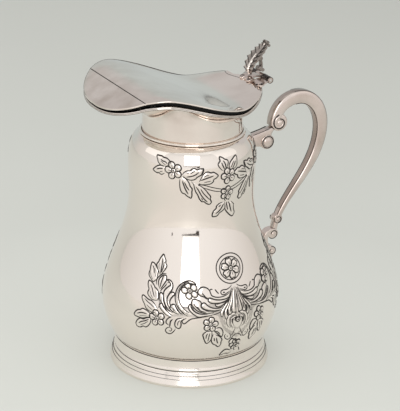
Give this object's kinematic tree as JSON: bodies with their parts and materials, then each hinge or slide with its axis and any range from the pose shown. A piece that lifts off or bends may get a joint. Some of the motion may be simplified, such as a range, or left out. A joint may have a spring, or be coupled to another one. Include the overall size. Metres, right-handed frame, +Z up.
{
  "type": "insulated jug",
  "caption": "Pear-shaped silver insulated jug with a glass vacuum flask, waved hinged lid over a broad pouring brim, leaf thumbpiece, scrolled handle and stepped foot.",
  "frame": {"origin": "on the jug's axis, at the surface that the foot stands on. The flat underside of the base cap is 1 mm above it", "axes": "+Z up along the jug's axis, -X towards the spout, +X towards the handle, -Y the side that the picture shows"},
  "size_m": [0.2143, 0.1474, 0.2683],
  "materials": {
    "silver": "polished silver sheet, lightly tarnished and finely scratched",
    "cast_silver": "cast and chased silver, dark tarnish left in the hollows",
    "black_seal": "matt black rubber",
    "pale_plastic": "moulded ivory plastic",
    "silvered_glass": "thin silvered glass",
    "cork": "pressed cork",
    "steel": "turned steel"
  },
  "bodies": {
    "jug": {"body_shell": "silver", "foot_ring": "silver", "neck_bead": "silver", "brim": "silver", "brim_knuckle_near": "cast_silver", "brim_knuckle_far": "cast_silver", "hinge_pin": "steel", "handle": "cast_silver", "upper_pad": "cast_silver", "upper_bracket": "cast_silver", "lower_pad": "cast_silver", "lower_socket": "cast_silver", "drop_scroll": "cast_silver", "pouring_liner": "pale_plastic", "flask_gasket": "black_seal", "flask_outer_glass": "silvered_glass", "flask_inner_glass": "silvered_glass", "flask_spacer_1": "cork", "flask_spacer_2": "cork", "flask_spacer_3": "cork", "base_ring": "steel"},
    "lid": {"lid_plate": "silver", "lid_seal": "black_seal", "lid_hinge_leaf": "cast_silver", "thumbpiece": "cast_silver", "thumb_scroll": "cast_silver", "stopper_plug": "pale_plastic", "stopper_disc": "black_seal", "stopper_screw": "steel"},
    "flask_support": {"flask_cushion": "cork"},
    "base_screw": {"base_cap": "silver"}
  },
  "joints": [
    {"name": "lid_hinge", "type": "hinge", "parent": "jug", "child": "lid", "pos_m": [0.062, 0, 0.239], "axis": [0, 1, 0], "range_deg": [0, 100]},
    {"name": "cushion_drop", "type": "slide", "parent": "jug", "child": "flask_support", "axis": [0, 0, -1], "range_m": [0, 0.006]},
    {"name": "base_cap_turn", "type": "hinge", "parent": "flask_support", "child": "base_screw", "pos_m": [0, 0, 0.001], "axis": [0, 0, -1], "range_deg": [0, 720]}
  ],
  "couplings": [
    {"joint": "cushion_drop", "follows": "base_cap_turn", "m_per_rad": 0.000477}
  ]
}
